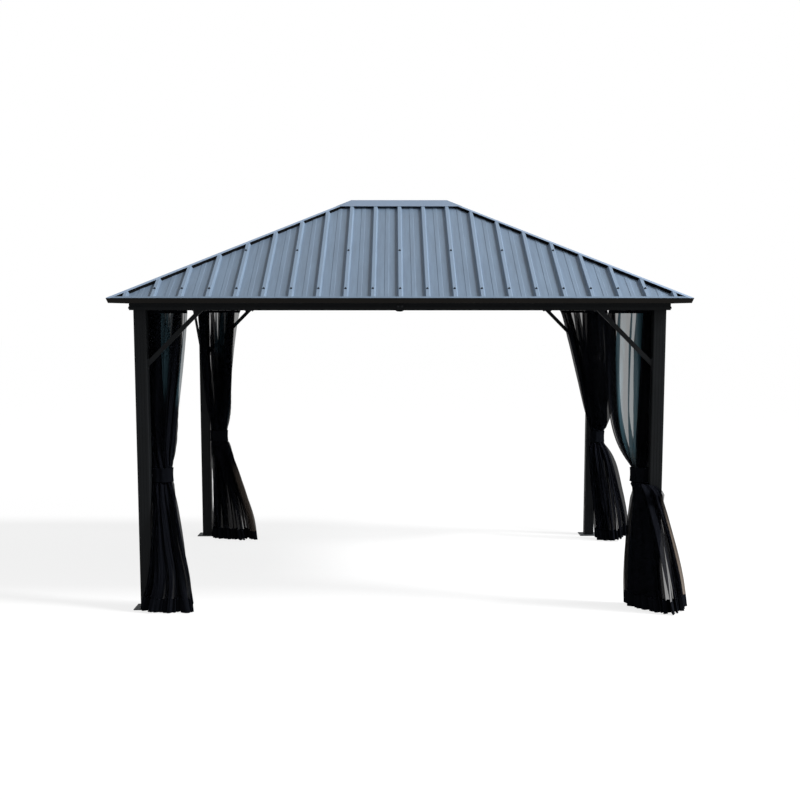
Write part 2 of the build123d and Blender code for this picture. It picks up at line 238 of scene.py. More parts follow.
def eave_trim_coat(name, face, top):
    """Brown-black powder coat whose upward faces, the edge that lies on the roof, are painted in the
    sheets' slate blue: a painted reflection of the sky.
    """
    material, add = new_material(name)
    place = add("TexCoord").outputs["Object"]
    smears = add("TexNoise", {"Scale": TRIM_MARKS, "Detail": 4.0}, {"Vector": place})
    peel = add("TexNoise", {"Scale": ORANGE_PEEL, "Detail": 2.0}, {"Vector": place})
    low = add("ValToRGB", links={"Fac": smears}, stops=tones(face, 0.85, 1.2))
    # Painted sky reflection: faces that look upward take a tone of the roof's slate blue
    high = add("ValToRGB", links={"Fac": smears}, stops=tones(top, 0.92, 1.08))
    normal = add("NewGeometry").outputs["True Normal"]
    upward = add("SeparateXYZ", links={"Vector": normal}).outputs["Z"]
    painted_sky_reflection_mask = add("Math", {1: 0.6}, {0: upward}, operation="GREATER_THAN")
    paint = add("Mix", links={0: painted_sky_reflection_mask, 6: low, 7: high}, data_type="RGBA").outputs[2]
    bump = add("Bump", {"Strength": 0.2, "Distance": 0.0003}, {"Height": peel})
    shader = add(
        "BsdfPrincipled",
        {"IOR": 1.5, "Specular IOR Level": 0.09, "Roughness": 0.5},
        {"Base Color": paint, "Normal": bump},
    )
    add("OutputMaterial", links={"Surface": shader})
    return material


def coil_coat(name, shade, across, banding, crests=False):
    """Coil-coated steel: a smooth satin polyester paint rolled on before the sheet is folded.

    The rollers leave faint bands 15 to 60 mm wide along the sheet, and rain leaves thin streaks down
    the slope; `across` is the plan axis that the bands cross. With `crests`, the ribs' tops are painted
    a little lighter: a painted highlight where light catches their edges.
    """
    material, add = new_material(name)
    place = add("TexCoord").outputs["Object"]
    stretch = [1.0 if axis == across else BAND_STRETCH for axis in "XYZ"]
    drawn = add("Mapping", {"Scale": stretch}, {"Vector": place})
    bands = add("TexNoise", {"Scale": ROLLER_BANDS, "Detail": 5.0, "Roughness": 0.75}, {"Vector": drawn})
    clouds = add("TexNoise", {"Scale": DUST_CLOUDS, "Detail": 3.0}, {"Vector": place})
    stops = tones(shade, 1 - banding, 1 + banding, 0.36, 0.64)
    tone = add("ValToRGB", links={"Fac": bands}, stops=stops)
    dust = add("ValToRGB", links={"Fac": clouds}, stops=((0.3, (0.94, 0.95, 0.96)), (0.7, WHITE)))
    paint = add("Mix", {0: 1.0}, {6: tone, 7: dust}, data_type="RGBA", blend_type="MULTIPLY").outputs[2]
    if crests:
        # Height over the pans: the pan plane falls by the roof's slope from the ridge
        axes = add("SeparateXYZ", links={"Vector": place}).outputs
        away = add("Math", links={0: axes["Y" if across == "X" else "X"]}, operation="ABSOLUTE")
        ridge = 0.0 if across == "X" else HALF_LENGTH - HALF_WIDTH
        start = CREST_TOP - RIB_RISE + ROOF_SLOPE * ridge
        fall = add("Math", {1: ROOF_SLOPE, 2: -start}, {0: away}, operation="MULTIPLY_ADD")
        over = add("Math", links={0: axes["Z"], 1: fall}, operation="ADD")
        # Painted highlight: near the full rib height over the pans, the coat is painted lighter
        edges = {"From Min": 0.6 * RIB_RISE, "From Max": 0.95 * RIB_RISE}
        painted_highlight_mask = add("MapRange", edges, {"Value": over})
        highlight_colour = (*scaled(shade, 1.18), 1)
        paint = add("Mix", {7: highlight_colour}, {0: painted_highlight_mask, 6: paint}, data_type="RGBA").outputs[2]
    gloss = {"From Min": 0.3, "From Max": 0.7, "To Min": 0.5, "To Max": 0.6}
    gloss = add("MapRange", gloss, {"Value": bands})
    waviness = add("Bump", {"Strength": 0.3, "Distance": 0.0006}, {"Height": bands})
    shader = add(
        "BsdfPrincipled",
        {"IOR": 1.45, "Specular IOR Level": 0.3},
        {"Base Color": paint, "Roughness": gloss, "Normal": waviness},
    )
    add("OutputMaterial", links={"Surface": shader})
    return material


def plated_steel(name, shade, roughness):
    """Painted or black zinc-plated steel: a dull crystalline coat with darker patches."""
    material, add = new_material(name)
    place = add("TexCoord").outputs["Object"]
    spangle = add("TexVoronoi", {"Scale": SPANGLE}, {"Vector": place})
    tone = add("ValToRGB", links={"Fac": spangle}, stops=tones(shade, 0.8, 1.15, 0.0, 1.0))
    finish = {"Roughness": roughness, "Specular IOR Level": 0.2}
    shader = add("BsdfPrincipled", finish, {"Base Color": tone})
    add("OutputMaterial", links={"Surface": shader})
    return material


def moulded_plastic(name, shade, roughness):
    """Moulded nylon or rubber: even colour with the mould's fine grain, about 1 mm across."""
    material, add = new_material(name)
    place = add("TexCoord").outputs["Object"]
    grain = add("TexNoise", {"Scale": MOULD_GRAIN, "Detail": 2.0}, {"Vector": place})
    tone = add("ValToRGB", links={"Fac": grain}, stops=tones(shade, 0.85, 1.15))
    bump = add("Bump", {"Strength": 0.2, "Distance": 0.0001}, {"Height": grain})
    finish = {"IOR": 1.53, "Specular IOR Level": 0.2, "Roughness": roughness}
    shader = add("BsdfPrincipled", finish, {"Base Color": tone, "Normal": bump})
    add("OutputMaterial", links={"Surface": shader})
    return material


def closed_cell_foam_painted_shade(name, shade):
    """Closed-cell foam: dead matt, with cut cells about 2 mm across; near black, it stands in for shade
    as painted shade.
    """
    material, add = new_material(name)
    place = add("TexCoord").outputs["Object"]
    cells = add("TexVoronoi", {"Scale": FOAM_CELLS}, {"Vector": place})
    tone = add("ValToRGB", links={"Fac": cells}, stops=tones(shade, 0.6, 1.3, 0.0, 0.8))
    bump = add("Bump", {"Strength": 0.4, "Distance": 0.0004}, {"Height": cells})
    finish = {"Roughness": 0.95, "Specular IOR Level": 0.05}
    shader = add("BsdfPrincipled", finish, {"Base Color": tone, "Normal": bump})
    add("OutputMaterial", links={"Surface": shader})
    return material


def woven_polyester(name, shade, thread, cover, painted_light=None):
    """Black polyester weave: matt threads that cross at right angles, drawn on the cloth's UV map.

    Net threads lie about 1.5 mm apart and tape threads 0.6 mm, too fine to show from a few metres
    off, so `thread` draws them coarser; `cover` is how much of the light one layer stops.
    `painted_light` holds the sky's and the ground's colours, painted on the threads as painted light
    above and below the ties where the cloth hangs in one layer (the mesh's attribute
    "sheer_painted_light").
    """
    material, add = new_material(name)
    spread = add("TexCoord").outputs["UV"]
    # A wave texture of scale 1 has a wave every 2 pi / 20
    wave = {"Scale": 2 * pi / thread / 20, "Distortion": 0.4}
    weft, warp = [
        add("TexWave", wave, {"Vector": spread}, bands_direction=axis).outputs["Fac"] for axis in "XY"
    ]
    weave = add("Math", links={0: weft, 1: warp}, operation="MAXIMUM")
    slubs = add("TexNoise", {"Scale": SLUBS, "Detail": 3.0}, {"Vector": spread})
    tone = add("ValToRGB", links={"Fac": weave}, stops=tones(shade, 0.6, 1.25, 0.0, 1.0))
    shadow = add("ValToRGB", links={"Fac": slubs}, stops=((0.3, (0.75, 0.75, 0.78)), (0.7, WHITE)))
    mixed = {6: tone, 7: shadow}
    threads = add("Mix", {0: 1.0}, mixed, data_type="RGBA", blend_type="MULTIPLY").outputs[2]
    if painted_light:
        # Painted light: single layers take the sky's colour above the ties and the ground's below
        sky, ground = painted_light
        place = add("TexCoord").outputs["Object"]
        height = add("SeparateXYZ", links={"Vector": place}).outputs["Z"]
        rise = add("MapRange", {"From Min": 0.75, "From Max": 1.05}, {"Value": height})
        glow = add("ValToRGB", links={"Fac": rise}, stops=((0.0, ground), (1.0, sky)))
        sheer_painted_light = add("Attribute", attribute_name="sheer_painted_light").outputs["Fac"]
        threads = add("Mix", links={0: sheer_painted_light, 6: threads, 7: glow}, data_type="RGBA").outputs[2]
    bump = add("Bump", {"Strength": 0.3, "Distance": 0.0004}, {"Height": weave})
    finish = {"Roughness": 0.9, "Specular IOR Level": 0.03, "Alpha": cover}
    shader = add("BsdfPrincipled", finish, {"Base Color": threads, "Normal": bump})
    add("OutputMaterial", links={"Surface": shader})
    return material


def coat_node(node, material):
    """Gives a built node its one material."""
    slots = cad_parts[node].data.materials
    slots.clear()
    slots.append(material)


def pick(obj):
    """Makes one object the only selected one, and the active one."""
    bpy.ops.object.select_all(action="DESELECT")
    obj.select_set(True)
    bpy.context.view_layer.objects.active = obj


def select_faces(obj, wanted):
    """Edit mode: selects the faces whose centre and normal are wanted."""
    bpy.ops.mesh.select_mode(type="FACE")
    bpy.ops.mesh.select_all(action="DESELECT")
    mesh = bmesh.from_edit_mesh(obj.data)
    for face in mesh.faces:
        face.select = wanted(face.calc_center_median(), face.normal)
    bmesh.update_edit_mesh(obj.data)


def stud(vertices, radius, depth, base, material, bevel=0.0, dome=0.0):
    """Upright round or hexagonal head standing on z = base, its top inset and raised by `dome`."""
    bpy.ops.object.select_all(action="DESELECT")
    bpy.ops.mesh.primitive_cylinder_add(
        vertices=vertices, radius=radius, depth=depth, location=(0, 0, base + depth / 2)
    )
    made = bpy.context.object
    bpy.ops.object.transform_apply(location=True, rotation=True, scale=True)
    bpy.ops.object.mode_set(mode="EDIT")
    select_faces(made, lambda centre, normal: normal.z > 0.9)
    if dome:
        bpy.ops.mesh.inset(thickness=radius * 0.35, depth=dome)
    if bevel:
        bpy.ops.mesh.bevel(offset=bevel, segments=1, affect="EDGES")
    bpy.ops.object.mode_set(mode="OBJECT")
    made.data.materials.append(material)
    return made


def join(name, parts):
    """Joins parts into the first one."""
    bpy.ops.object.select_all(action="DESELECT")
    for part in parts:
        part.select_set(True)
    bpy.context.view_layer.objects.active = parts[0]
    if len(parts) > 1:
        bpy.ops.object.join()
    joined = bpy.context.object
    joined.name = name
    joined.data.name = name
    return joined


def on_frame(piece):
    """Makes a finished piece ride on the frame."""
    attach(piece, "root")
    return piece


def copies(template, places, name):
    """One piece made of a copy of the template at every place; it rides on the frame."""
    parts = []
    for place in places:
        part = template.copy()
        part.data = template.data.copy()
        part.data.transform(place)
        bpy.context.scene.collection.objects.link(part)
        parts.append(part)
    return on_frame(join(name, parts))


def discard(obj):
    """Removes a template once its copies are made."""
    bpy.data.objects.remove(obj, do_unlink=True)


def standing(point, up, turn=0.0):
    """Placement that stands a template's z axis along `up` at a point."""
    upright = Vector(up).to_track_quat("Z", "Y").to_matrix().to_4x4()
    return Matrix.Translation(point) @ upright @ Matrix.Rotation(turn, 4, "Z")


def post_centre(corner):
    """Centre of a post in plan."""
    low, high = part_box(f"post_{corner}")
    return (low.x + high.x) / 2, (low.y + high.y) / 2


def seen_rays(add):
    """1 on camera, glossy and transmission rays, which meet the bare background, and else 0."""
    ray = add("LightPath").outputs
    seen = {0: ray["Is Camera Ray"], 1: ray["Is Glossy Ray"]}
    seen = {0: add("Math", links=seen, operation="MAXIMUM"), 1: ray["Is Transmission Ray"]}
    return add("Math", links=seen, operation="MAXIMUM")


class GAZEBO_OT_build_stage(bpy.types.Operator):
    """Make the pale floor, the soft lights and the camera"""

    bl_idname = "gazebo.build_stage"
    bl_label = "Build Stage"

    # Key light from high on the right, soft as through thin cloud, and a soft panel beside it
    key_toward = Vector((0.76, -0.18, 0.62))
    key_angle = radians(10)
    panel_place = Vector((6.2, -2.5, 4.4))
    panel_aim = Vector((0, -0.7, 2.4))
    panel_side = 3.0
    camera_place = (-0.046, -9.076, 1.925)
    camera_dip = 0.1205
    camera_turn = -0.0058
    camera_shift = 0.0725
    floor_side = 120.0
    floor_shade = 0.27
    floor_glow = 0.8

    def execute(self, context):
        look = context.scene.gazebo_stage
        bpy.ops.object.select_all(action="DESELECT")
        bpy.ops.mesh.primitive_plane_add(size=self.floor_side, location=(0, 0, 0))
        floor = context.object
        floor.name = "studio_floor"
        floor.data.materials.append(self.floor_paint())

        bpy.ops.object.light_add(type="SUN", location=self.key_toward * 20)
        key = context.object
        key.name = "key_light"
        key.rotation_euler = self.key_toward.to_track_quat("Z", "Y").to_euler()
        key.data.energy = look.sun_strength
        key.data.angle = self.key_angle
        bpy.ops.object.light_add(type="AREA", location=self.panel_place)
        panel = context.object
        panel.name = "panel_light"
        panel.rotation_euler = (self.panel_place - self.panel_aim).to_track_quat("Z", "Y").to_euler()
        panel.data.energy = look.panel_power
        panel.data.shape = "SQUARE"
        panel.data.size = self.panel_side

        context.scene.world = self.even_sky(look.sky_strength)
        context.scene.view_settings.view_transform = "Standard"

        tilt = (pi / 2 - self.camera_dip, 0, self.camera_turn)
        bpy.ops.object.camera_add(location=self.camera_place, rotation=tilt)
        camera = context.object
        camera.name = "photo_camera"
        camera.data.sensor_width = 36.0
        camera.data.lens = look.lens
        camera.data.shift_y = self.camera_shift
        context.scene.camera = camera
        return {"FINISHED"}

    def even_sky(self, strength):
        """Sky that lights the object evenly and shows white behind it."""
        world = bpy.data.worlds.new("studio_sky")
        world.use_nodes = True
        world.node_tree.nodes.clear()
        add = partial(add_node, world.node_tree)
        level = add("MapRange", {"To Min": strength, "To Max": 1.0}, {"Value": seen_rays(add)})
        sky = add("Background", {"Color": (*WHITE, 1)}, {"Strength": level})
        output = add("OutputWorld", links={"Surface": sky})
        output.is_active_output = True
        return world

    def floor_paint(self):
        """White matt paint: its own colour takes the shadow, and it shows white where it is lit."""
        material, add = new_material("white_studio_paint")
        level = add("Math", {1: self.floor_glow}, {0: seen_rays(add)}, operation="MULTIPLY")
        paint = add("BsdfDiffuse", {"Color": (*[self.floor_shade] * 3, 1)})
        glow = add("Emission", {"Color": (*WHITE, 1)}, {"Strength": level})
        both = add("AddShader", links={0: paint, 1: glow})
        add("OutputMaterial", links={"Surface": both})
        return material


class GAZEBO_OT_coat_frame(bpy.types.Operator):
    """Powder-coat the posts, feet, beams, braces, rafters and trims"""

    bl_idname = "gazebo.coat_frame"
    bl_label = "Coat Frame"

    def execute(self, context):
        look = context.scene.gazebo_metal
        charcoal = powder_coat("powder_coated_aluminium", look.charcoal, 0.5)
        # Foot plates painted lighter grey, with brighter patches: a painted glint, with dust
        plate = powder_coat("dusty_powder_coated_steel_painted_glint", look.plate_grey, 0.55, glint_and_dust=0.3)
        # The roof blue is the eave trims' painted sky reflection on their upward faces
        trim = eave_trim_coat("powder_coated_eave_trim", look.trim_brown, look.roof_blue)
        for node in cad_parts:
            kind = node.split("_")[0]
            if kind in ("post", "brace", "beam", "purlin") or node == "ridge_beam" or "rafter" in node:
                coat_node(node, charcoal)
            elif kind == "foot":
                coat_node(node, plate)
            elif kind == "eave":
                coat_node(node, trim)
        return {"FINISHED"}


class GAZEBO_OT_coat_roof(bpy.types.Operator):
    """Coil-coat the ribbed sheets, hip caps and ridge cap"""

    bl_idname = "gazebo.coat_roof"
    bl_label = "Coat Roof"

    def execute(self, context):
        look = context.scene.gazebo_metal
        bands, faint_bands = 0.12, 0.03
        # The sheets' rib crests take a painted highlight
        long_sheets = coil_coat("coil_coated_steel_long_slopes", look.roof_blue, "X", bands, crests=True)
        end_sheets = coil_coat("coil_coated_steel_end_slopes", look.roof_blue, "Y", bands, crests=True)
        caps = coil_coat("coil_coated_steel_caps", look.cap_blue, "X", faint_bands)
        # The hip caps' coat is painted paler than the ridge cap's: a painted reflection of the sky on
        # their upward faces
        hip_caps_painted_reflection = coil_coat("coil_coated_steel_hip_caps_painted_reflection", scaled(look.cap_blue, 1.3), "X", faint_bands)
        for side in SIDES:
            coat_node(f"roof_sheet_{side}", long_sheets if side in ("front", "back") else end_sheets)
        for corner in CORNERS:
            coat_node(f"hip_cap_{corner}", hip_caps_painted_reflection)
        coat_node("ridge_cap", caps)
        return {"FINISHED"}


class GAZEBO_OT_add_roof_screws(bpy.types.Operator):
    """Drive the two rows of roofing screws through the ribs of every slope"""

    bl_idname = "gazebo.add_roof_screws"
    bl_label = "Add Roof Screws"

    seal_depth, washer_depth, head_depth = 0.0022, 0.0012, 0.0052
    # Least plan distance of a screw from the hip, and how much each head stands turned from the next
    hip_margin, turn_step = 0.05, 0.7

    def execute(self, context):
        look = context.scene.gazebo_metal
        sizes = context.scene.gazebo_fasteners
        coat = plated_steel("painted_screw_steel", look.screw_coat, 0.5)
        rubber = moulded_plastic("black_sealing_rubber", linear("#101112"), 0.7)
        flange = self.seal_depth + self.washer_depth
        rim = sizes.washer / 2
        seal = stud(12, rim, self.seal_depth, 0.0, rubber)
        washer = stud(12, rim - 0.001, self.washer_depth, self.seal_depth, coat, dome=0.0008)
        head = stud(6, sizes.screw_head / 2, self.head_depth, flange, coat, bevel=CHAMFER)
        screw = join("roof_screw", [seal, washer, head])
        for side in SIDES:
            long_side = side in ("front", "back")
            half = HALF_LENGTH if long_side else HALF_WIDTH
            # The end slopes rise to the ends of the ridge
            shift = 0.0 if long_side else (HALF_LENGTH - HALF_WIDTH) * (1 if side == "right" else -1)
            turned = Matrix.Translation((shift, 0, 0)) @ Matrix.Rotation(TURNS[side], 4, "Z")
            places = []
            for from_eave, step in ((sizes.lower_row, 1), (sizes.upper_row, 2)):
                reach = int((half - from_eave - self.hip_margin) / sizes.rib_pitch)
                y = from_eave - HALF_WIDTH
                for rib in range(-reach, reach + 1):
                    if rib % step == 0:
                        point = (rib * sizes.rib_pitch, y, CREST_TOP + ROOF_SLOPE * y)
                        places.append(turned @ standing(point, (0, -ROOF_SLOPE, 1), self.turn_step * rib))
            copies(screw, places, f"roof_screws_{side}")
        discard(screw)
        return {"FINISHED"}


class GAZEBO_OT_close_hips(bpy.types.Operator):
    """Fill the gaps between the pans and the hip caps with black foam closure strips, whose near-black
    paints the shade in these gaps
    """

    bl_idname = "gazebo.close_hips"
    bl_label = "Close Hips"

    # Plan distances of the strips' ends from the eaves' corner and from the ridge
    eave_gap, ridge_gap = 0.03, 0.06
    # Depth of their heads under the rib crests, and of their feet in the pans
    head_depth, foot_depth = 0.0009, 0.0012

    def execute(self, context):
        sizes = context.scene.gazebo_fasteners
        # Painted shade: the near-black foam fills the gaps under the hip caps, where there is shade
        foam = closed_cell_foam_painted_shade("black_closure_foam_painted_shade", linear("#0C0D0F"))
        start, end = self.eave_gap, HALF_WIDTH - self.ridge_gap
        middle = (start + end) / 2
        hip_slope = ROOF_SLOPE / sqrt(2)
        pitch = atan(hip_slope)
        foot = RIB_RISE + self.foot_depth
        height = (foot - self.head_depth) * cos(pitch)
        for corner, (sign_x, sign_y) in CORNERS.items():
            place = Vector((
                sign_x * (HALF_LENGTH - middle),
                sign_y * (HALF_WIDTH - middle),
                CREST_TOP - ROOF_SLOPE * (HALF_WIDTH - middle) - (foot + self.head_depth) / 2,
            ))
            heading = Matrix.Rotation(np.arctan2(-sign_y, -sign_x), 4, "Z")
            tilt = Matrix.Rotation(-pitch, 4, "Y")
            strips = []
            for offset in (-sizes.closure_offset, sizes.closure_offset):
                bpy.ops.object.select_all(action="DESELECT")
                bpy.ops.mesh.primitive_cube_add(size=1.0)
                strip = context.object
                strip.scale = ((end - start) * sqrt(2) / cos(pitch), sizes.closure, height)
                bpy.ops.object.transform_apply(location=False, rotation=False, scale=True)
                bpy.ops.object.mode_set(mode="EDIT")
                bpy.ops.mesh.select_all(action="SELECT")
                bpy.ops.mesh.bevel(offset=CHAMFER, segments=1, affect="EDGES")
                bpy.ops.object.mode_set(mode="OBJECT")
                across = Matrix.Translation((0, offset, -hip_slope * abs(offset)))
                strip.data.transform(Matrix.Translation(place) @ heading @ across @ tilt)
                strip.data.materials.append(foam)
                strips.append(strip)
            on_frame(join(f"hip_closure_painted_shade_{corner}", strips))
        return {"FINISHED"}


class GAZEBO_OT_add_bolts(bpy.types.Operator):
    """Bolt the braces' tabs to the posts and beams, and the splice plates to the long beams"""

    bl_idname = "gazebo.add_bolts"
    bl_label = "Add Bolts"

    washer_depth, head_depth = 0.0012, 0.004
    tab_thickness = 0.003
    # From the middle of a brace's tab to the brace's end
    tab_middle = 0.037
    # The two bolts of a splice plate, from its middle and under its top
    splice_spread, splice_drop = 0.013, 0.014
    # How far the heads stand turned
    post_turn, beam_turn, splice_turn = 0.4, 0.9, 0.3

    def execute(self, context):
        sizes = context.scene.gazebo_fasteners
        steel = plated_steel("black_zinc_plated_steel", linear("#24272A"), 0.45)
        washer = stud(16, sizes.bolt_head * 0.62, self.washer_depth, 0.0, steel)
        head = stud(6, sizes.bolt_head / 2, self.head_depth, self.washer_depth, steel, bevel=CHAMFER)
        bolt = join("brace_bolt", [washer, head])
        for corner, signs in CORNERS.items():
            places = []
            for along, plane in enumerate(("long", "short")):
                low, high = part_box(f"brace_{corner}_{plane}")
                middle = (low + high) / 2
                sign = signs[along]
                reach = (high[along] - low[along]) - self.tab_middle
                inner = (high if sign > 0 else low)[along]
                for step in (-0.5, 0.5):
                    post_point, beam_point = middle.copy(), middle.copy()
                    post_point[along] = inner - sign * self.tab_thickness
                    post_point.z = high.z - reach + step * sizes.bolt_spacing
                    beam_point[along] = inner - sign * (reach + step * sizes.bolt_spacing)
                    beam_point.z = high.z - self.tab_thickness
                    out = [0, 0, 0]
                    out[along] = -sign
                    places.append(standing(post_point, out, self.post_turn))
                    places.append(standing(beam_point, (0, 0, -1), self.beam_turn))
            copies(bolt, places, f"brace_bolts_{corner}")
        for side, sign in (("front", -1), ("back", 1)):
            low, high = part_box(f"beam_splice_{side}")
            face = low.y if side == "front" else high.y
            height = high.z - self.splice_drop
            places = [
                standing((offset, face, height), (0, sign, 0), self.splice_turn)
                for offset in (-self.splice_spread, self.splice_spread)
            ]
            copies(bolt, places, f"splice_bolts_{side}")
        discard(bolt)
        return {"FINISHED"}


# Mosquito nets. Each one is drawn by plan lines through seven points, from its free edge on the long
# track to its end on the side track, in millimetres from the post's centre. The first line is the
# header under the tracks and the second the waist in the tie; the others spread down to the hem.
# `shares` is how much of the cloth lies before each point, `gather` how late each point leaves the
# header's line on the way down to the tie, in x and in y (1 is straight), `lay` the angle in degrees
# at which the pleats lie over, `lift` the hem's height in millimetres, `hook` the ends of the tie
# ring's axis, and `loose` how far the pleats open below the tie. `sheer_painted_light` lists the parts
# that hang in one or two layers and take painted sky and ground light: from and to in shares of the
# cloth, from and to in height, and how much.
TRACK_FOOT = 1930.8
TIE = 870
NETS = {
    "front_left": {
        "shares": (0, 0.02, 0.2, 0.44, 0.62, 0.8, 1),
        "sheer_painted_light": ((0.0, 0.022, 1.35, 2.0, 0.6), (0.16, 0.34, 1.4, 2.0, 0.4)),
        "gather": ((1.25, 1.15, 1.1, 1.1, 1.2, 1.4, 1.6), (1, 1, 1, 1.1, 1.2, 1.4, 1.6)),
        "lay": (5, 20, 55, 55, 50, 40, 20),
        "lines": {
            TRACK_FOOT: ((290, 45), (268, 45), (205, 45), (92, 46), (42, 110), (35, 239), (30, 345)),
            TIE: ((163, 52), (157, 52), (140, 53), (108, 55), (80, 56), (52, 56), (30, 56)),
            700: ((180, 62), (178, 30), (162, 0), (132, -12), (100, -10), (74, 5), (58, 35)),
            450: ((214, 70), (216, 15), (200, -35), (158, -62), (112, -64), (80, -48), (66, -20)),
            200: ((258, 80), (264, 5), (246, -75), (192, -115), (122, -120), (74, -100), (50, -72)),
            5: ((284, 84), (288, 0), (264, -115), (180, -152), (92, -140), (30, -115), (6, -80)),
        },
        "lift": (6, 4, 4, 4, 7, 8, 9),
        "hook": ((-1.610, -1.278, 0.87), (-1.598, -1.268, 0.87)),
        "loose": 0.25,
        "seed": 11,
    },
    "front_right": {
        "shares": (0, 0.17, 0.32, 0.46, 0.63, 0.81, 1),
        "sheer_painted_light": ((0.185, 0.315, 0.96, 2.0, 1.0), (0.0, 0.06, 0.0, 0.7, 0.8), (0.9, 1.0, 0.0, 0.7, 0.8)),
        "gather": ((4.6, 4.0, 1.5, 1.1, 1.2, 1.4, 1.6), (1, 1, 1, 1.1, 1.2, 1.4, 1.6)),
        "lay": (45, 58, 55, 55, 50, 40, 20),
        "lines": {
            TRACK_FOOT: (
                (-312, 45), (-254, 45), (-84, 45), (-50, 54), (-42, 139), (-35, 239), (-30, 345)
            ),
            TIE: ((-140, 52), (-122, 52), (-102, 53), (-84, 55), (-66, 56), (-48, 56), (-32, 56)),
            800: ((-114, 64), (-110, 49), (-98, 19), (-80, -11), (-58, -36), (-25, -53), (10, -53)),
            700: ((-102, 74), (-100, 49), (-94, -1), (-72, -46), (-35, -66), (14, -71), (52, -56)),
            550: ((-110, 79), (-106, 39), (-92, -26), (-62, -66), (-12, -96), (52, -86), (94, -46)),
            370: ((-120, 89), (-114, 34), (-96, -36), (-52, -91), (8, -126), (88, -101), (150, -21)),
            200: ((-124, 94), (-118, 29), (-94, -51), (-42, -111), (26, -156), (122, -111), (188, 9)),
            5: ((-120, 99), (-116, 29), (-94, -61), (-28, -141), (46, -196), (148, -121), (215, 29)),
        },
        "lift": (4, 4, 8, 8, 5, 6, 12),
        "hook": ((1.610, -1.278, 0.87), (1.600, -1.268, 0.87)),
        "loose": 0.45,
        "seed": 23,
    },
    "back_left": {
        "shares": (0, 0.015, 0.2, 0.44, 0.62, 0.8, 1),
        "sheer_painted_light": ((0.0, 0.02, 0.0, 2.0, 0.8), (0.22, 0.4, 1.6, 2.0, 0.25), (0.02, 0.12, 0.0, 0.6, 0.4)),
        "gather": ((0.68, 0.75, 0.9, 1.1, 1.4, 2.0, 2.6), (1, 1, 1, 1.1, 1.2, 1.4, 1.6)),
        "lay": (5, 20, 55, 55, 50, 40, 20),
        "lines": {
            TRACK_FOOT: (
                (318, -45), (300, -45), (228, -45), (98, -46), (42, -112), (36, -250), (32, -369)
            ),
            TIE: ((188, -52), (181, -52), (163, -52), (132, -52), (102, -52), (76, -52), (50, -52)),
            700: ((222, -20), (226, -60), (208, -100), (175, -115), (138, -112), (108, -95), (92, -65)),
            400: ((326, 0), (334, -70), (302, -140), (242, -165), (178, -160), (120, -130), (90, -80)),
            200: ((378, 10), (392, -75), (356, -160), (280, -195), (202, -190), (126, -150), (86, -85)),
            5: ((416, 11), (424, -70), (386, -175), (310, -225), (222, -222), (130, -175), (78, -95)),
        },
        "lift": (14, 6, 4, 4, 4, 4, 7),
        "hook": ((-1.610, 1.278, 0.87), (-1.590, 1.262, 0.87)),
        "loose": 0.65,
        "seed": 37,
    },
    "back_right": {
        "shares": (0, 0.12, 0.36, 0.5, 0.64, 0.82, 1),
        "sheer_painted_light": (),
        "gather": ((0.8, 0.85, 1.0, 1.5, 1.1, 0.85, 0.8), (1, 1, 1.0, 1.4, 1.6, 1.7, 1.8)),
        "lay": (40, 58, 58, 55, 50, 40, 20),
        "lines": {
            TRACK_FOOT: (
                (-284, -45), (-240, -45), (-130, -45), (-47, -60), (-45, -300), (-45, -600), (-45, -919)
            ),
            TIE: ((-14, -119), (4, -119), (22, -119), (42, -119), (62, -119), (80, -119), (96, -119)),
            700: ((5, -130), (-1, -160), (18, -195), (50, -215), (88, -215), (116, -190), (128, -150)),
            450: ((37, -150), (26, -190), (40, -240), (80, -268), (128, -272), (172, -245), (198, -195)),
            200: ((62, -165), (54, -215), (68, -270), (112, -300), (163, -308), (220, -285), (254, -235)),
            5: ((80, -170), (72, -230), (86, -290), (127, -318), (183, -322), (240, -300), (274, -262)),
        },
        "lift": (4, 4, 4, 6, 14, 34, 62),
        "hook": ((1.680, 1.259, 0.87), (1.690, 1.232, 0.87)),
        "loose": 0.4,
        "seed": 41,
    },
}
TOP, WAIST, HEM_FOOT = TRACK_FOOT / 1000, TIE / 1000, 0.005
# Height over which the tie gathers the cloth, and over which it opens above
TIE_REACH, UPPER_FALL = 0.13, 1.06
# Height in which the pleats take their lay, and its least and most degrees
SETTLED, LAY_RANGE = 0.22, (-15, 68)
# Share of the cloth that runs flat into each side edge
FLAT_ENDS = 0.03
# How far the whole cloth waves, above and below the tie
UPPER_SWAY, LOWER_SWAY = 0.011, 0.020
# Foot of the braces, and the planes in x and y that the cloth stays behind above it
BRACE_FOOT, BRACE_FACE = 1.53, (1.654, 1.302)
# Half sizes of a post and its plate with room for the cloth, and what the hem clears
POST_CLEAR, PLATE_CLEAR, PLATE_TOP, FLOOR_GAP = 0.0435, 0.083, 0.0075, 0.003
# How far a net may stand out past the eave
NET_REACH = 0.11
STRAP_GAP, STRAP_CLEAR = 0.003, 0.0425


